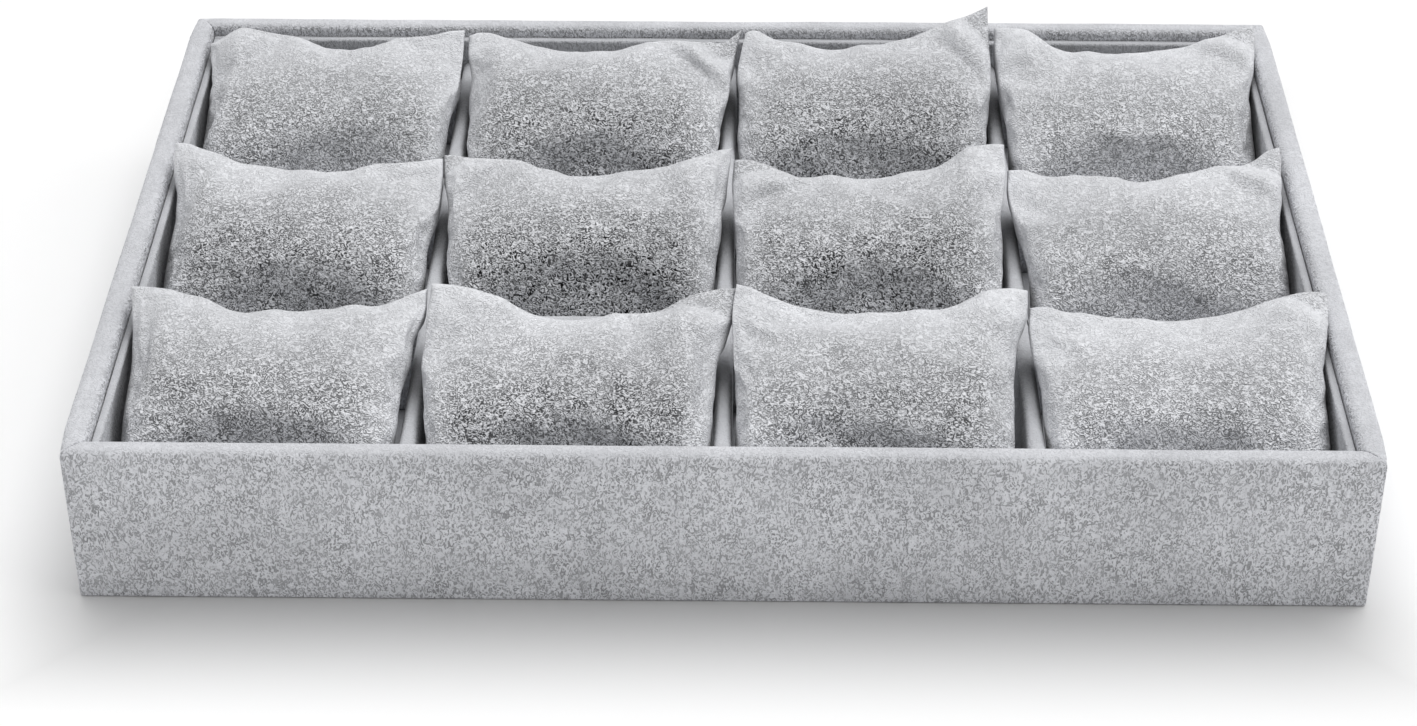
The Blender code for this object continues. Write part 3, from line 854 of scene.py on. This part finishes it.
def pillow_mesh(name, form, cell, openness):
    """Two panels that share the seam round their edge."""
    a, b = np.meshgrid(spread(ACROSS_STEPS), spread(UP_STEPS), indexing="ij")
    tops = settle(pillow_points(a, b, 1, form, cell), cell, form[1], b)
    unders = settle(pillow_points(a, b, -1, form, cell), cell, form[1], b)
    half_width, half_depth = (cell[1].x - cell[0].x) / 2, (cell[1].y - cell[0].y) / 2
    flap = corner_form(a, b, form[2], half_width, half_depth)[2]
    verts, places, index = [], [], {}
    for face, points in ((1, tops), (-1, unders)):
        for i in range(ACROSS_STEPS + 1):
            for j in range(UP_STEPS + 1):
                if face == -1 and on_seam(i, j):
                    index[face, i, j] = index[1, i, j]
                else:
                    index[face, i, j] = len(verts)
                    verts.append(points[i, j])
                    places.append((a[i, j], b[i, j], face, flap[i, j]))
    faces = []
    for face in (1, -1):
        for i in range(ACROSS_STEPS):
            for j in range(UP_STEPS):
                quad = [index[face, i, j], index[face, i + 1, j]]
                quad += [index[face, i + 1, j + 1], index[face, i, j + 1]]
                faces.append(quad[::face])
    mesh = bpy.data.meshes.new(name)
    mesh.from_pydata(verts, [], faces)
    places = np.array(places)
    store_pile(mesh, places, openness)
    seam_verts = [number for (face, i, j), number in index.items() if face == 1 and on_seam(i, j)]
    return mesh, seam_verts, places[:, 1]


def store_pile(mesh, places, openness):
    """How far the pile stands open, most over the low belly, and how much painted light brightens it there.
    """
    a, b, face, flap = places.T
    from_side = np.clip((1 - np.abs(a)) / PILE_SIDE_WIDTH, 0, 1)
    from_top = np.clip(1 - b, 0, 1) ** PILE_TOP_POWER
    by_side = PILE_AT_SIDE + (1 - PILE_AT_SIDE) * from_side
    by_top = PILE_AT_TOP + (1 - PILE_AT_TOP) * from_top
    pile = np.where(face > 0, by_side * by_top, PILE_UNDER)
    pile = openness * np.maximum(pile, PILE_ON_FLAP * flap)
    # Painted light over the low belly, which lies in shade
    nap = 1 + PAINTED_BELLY_LIGHT / openness**2 * np.clip((PAINTED_LIGHT_FROM - b) / PAINTED_LIGHT_WIDTH, 0, 1)
    for name, values in (("pile", pile), ("nap", nap)):
        attribute = mesh.attributes.new(name, "FLOAT", "POINT")
        attribute.data.foreach_set("value", values.astype(np.float32))


def make_pillows(material):
    """All the pillows, each in its cell."""
    pillows = []
    for row in range(1, ROWS + 1):
        for column in range(1, COLUMNS + 1):
            cell = cell_of(row, column)
            name = f"cushion_r{row}_c{column}"
            form = tuple(table[row - 1][column - 1] for table in (TOP_SEAMS, SIDE_SEAMS, TOP_CORNERS))
            mesh, seam_verts, heights = pillow_mesh(name, form, cell, OPENNESS[row - 1][column - 1])
            obj = add_object(name, mesh)
            pillows.append((obj, seam_verts, cell, form[1], heights))
    swell_pillows(pillows)
    for number, (obj, _, cell, side_seams, heights) in enumerate(pillows):
        soften(obj, cell, side_seams, heights, PILLOW_SEED_STEP * number)
        dress(obj, obj.name.replace("cushion", "pillow"), material)


def swell_pillows(pillows):
    """Blows all the pillows up at once as slack cloth held along its seams, and keeps the result."""
    scene = bpy.context.scene
    for obj, seam_verts, *_ in pillows:
        held = obj.vertex_groups.new(name="seam")
        held.add(seam_verts, 1.0, "REPLACE")
        cloth = obj.modifiers.new("cloth", "CLOTH")
        for key, value in CLOTH_SETTINGS.items():
            setattr(cloth.settings, key, value)
        cloth.settings.vertex_group_mass = "seam"
        cloth.settings.effector_weights.gravity = 0.0
        cloth.collision_settings.use_collision = False
        cloth.point_cache.frame_start = FIRST_FRAME
        cloth.point_cache.frame_end = LAST_FRAME
    for frame_number in range(FIRST_FRAME, LAST_FRAME + 1):
        scene.frame_set(frame_number)
    graph = bpy.context.evaluated_depsgraph_get()
    for obj, *_ in pillows:
        start = np.empty(len(obj.data.vertices) * 3)
        obj.data.vertices.foreach_get("co", start)
        end = np.empty_like(start)
        obj.evaluated_get(graph).to_mesh().vertices.foreach_get("co", end)
        move = (end - start).reshape(-1, 3)
        size = np.linalg.norm(move, axis=1, keepdims=True)
        move *= np.minimum(1.0, LARGEST_MOVE / np.maximum(size, LEAST_MOVE))
        obj.data.vertices.foreach_set("co", start + move.ravel())
        obj.modifiers.clear()
        obj.vertex_groups.clear()
    scene.frame_set(FIRST_FRAME)


def soften(obj, cell, side_seams, heights, seed):
    """Adds the uneven filling, keeps the pillow in its cell and smooths it with one subdivision."""
    mesh = obj.data
    mesh.shade_smooth()
    mesh.update()
    points = np.array([tuple(v.co) for v in mesh.vertices])
    normals = np.array([tuple(v.normal) for v in mesh.vertices])
    bumps = np.array([uneven(Vector(p), seed, PILLOW_UNEVEN) for p in points])
    points = settle(points + normals * bumps[:, None], cell, side_seams, heights)
    mesh.vertices.foreach_set("co", points.ravel())
    finer = obj.modifiers.new("finer", "SUBSURF")
    finer.levels = 1
    finer.render_levels = 1


# Scene

def make_floor():
    """A white floor, darker round the tray."""
    bm = bmesh.new()
    bmesh.ops.create_grid(bm, x_segments=1, y_segments=1, size=FLOOR_REACH)
    mesh = bpy.data.meshes.new("floor")
    bm.to_mesh(mesh)
    bm.free()
    obj = add_object("floor", mesh)
    n = Nodes("floor_white")
    place = n.add("ShaderNodeSeparateXYZ", {0: n.add("ShaderNodeTexCoord").outputs["Object"]})
    beyond = []
    for axis, half in zip("XY", FLOOR_NEAR_HALF):
        beyond.append(n.math("SUBTRACT", n.math("ABSOLUTE", place.outputs[axis]), half))
    white = n.span(n.math("MAXIMUM", *beyond), 0.0, FLOOR_FADE, FLOOR_NEAR, FLOOR_WHITE)
    grey = n.add("ShaderNodeCombineColor", {channel: white for channel in range(3)})
    n.put(n.shader, "Base Color", grey.outputs[0])
    n.put(n.shader, "Roughness", 1.0)
    n.put(n.shader, "Specular IOR Level", 0.0)
    mesh.materials.append(n.material)


def make_light():
    """The sky, seen as white by the camera and in reflections, and the lamps."""
    world = bpy.data.worlds.new("studio")
    bpy.context.scene.world = world
    world.use_nodes = True
    tree = world.node_tree
    background = tree.nodes["Background"]
    path = tree.nodes.new("ShaderNodeLightPath")
    seen = path.outputs["Is Camera Ray"]
    for other in ("Is Glossy Ray", "Is Transmission Ray"):
        either = tree.nodes.new("ShaderNodeMath")
        either.operation = "MAXIMUM"
        tree.links.new(seen, either.inputs[0])
        tree.links.new(path.outputs[other], either.inputs[1])
        seen = either.outputs[0]
    brightness = tree.nodes.new("ShaderNodeMapRange")
    tree.links.new(seen, brightness.inputs["Value"])
    brightness.inputs["To Min"].default_value = SKY_STRENGTH
    brightness.inputs["To Max"].default_value = 1.0
    tree.links.new(brightness.outputs[0], background.inputs["Strength"])
    background.inputs["Color"].default_value = (1, 1, 1, 1)

    for name, (strength, angle, height, side) in LAMPS.items():
        lamp_data = bpy.data.lights.new(name, "SUN")
        lamp_data.energy = strength
        lamp_data.angle = math.radians(angle)
        lamp = bpy.data.objects.new(name, lamp_data)
        bpy.context.scene.collection.objects.link(lamp)
        up, turn = math.radians(height), math.radians(side)
        away = Vector((math.sin(turn) * math.cos(up), math.cos(turn) * math.cos(up), math.sin(up)))
        lamp.rotation_euler = away.to_track_quat("Z", "Y").to_euler()


def make_camera():
    """A camera at the picture's angle."""
    camera_data = bpy.data.cameras.new("camera")
    camera_data.sensor_width = SENSOR_WIDTH_MM
    camera_data.lens = FOCAL_PIXELS / PICTURE_WIDTH * camera_data.sensor_width
    camera = bpy.data.objects.new("camera", camera_data)
    bpy.context.scene.collection.objects.link(camera)
    turn = Matrix.Rotation(CAMERA_YAW, 4, "Z") @ Matrix.Rotation(CAMERA_PITCH, 4, "X")
    camera.matrix_world = Matrix.Translation(CAMERA_PLACE) @ turn @ Matrix.Rotation(CAMERA_ROLL, 4, "Z")
    bpy.context.scene.camera = camera


def paint_node(node, material):
    """Gives a node that stays visible its material."""
    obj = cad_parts[node]
    if not obj.material_slots:
        obj.data.materials.append(material)
    for place in obj.material_slots:
        place.material = material


def main():
    make_camera()
    make_light()
    make_floor()
    cover = velvet("cover_velvet_grain", **COVER_VELVET)
    liner = velvet("liner_velvet_grain", **LINER_VELVET)
    pillow = velvet("pillow_velvet_grain", **PILLOW_VELVET)
    board = fibreboard("fibreboard")
    under = lining("grained_lining")
    for number, side in enumerate(SIDE_TURNS):
        cover_piece(side, cover, COVER_FIRST_SEED + COVER_SEED_STEP * number)
        paint_node(f"{side}_wall_board", board)
    make_strips(liner)
    make_pillows(pillow)
    paint_node("base_board", board)
    paint_node("bottom_sheet", under)
    paint_node("floor_pad", liner)
    bpy.context.scene.view_settings.view_transform = "Standard"


main()
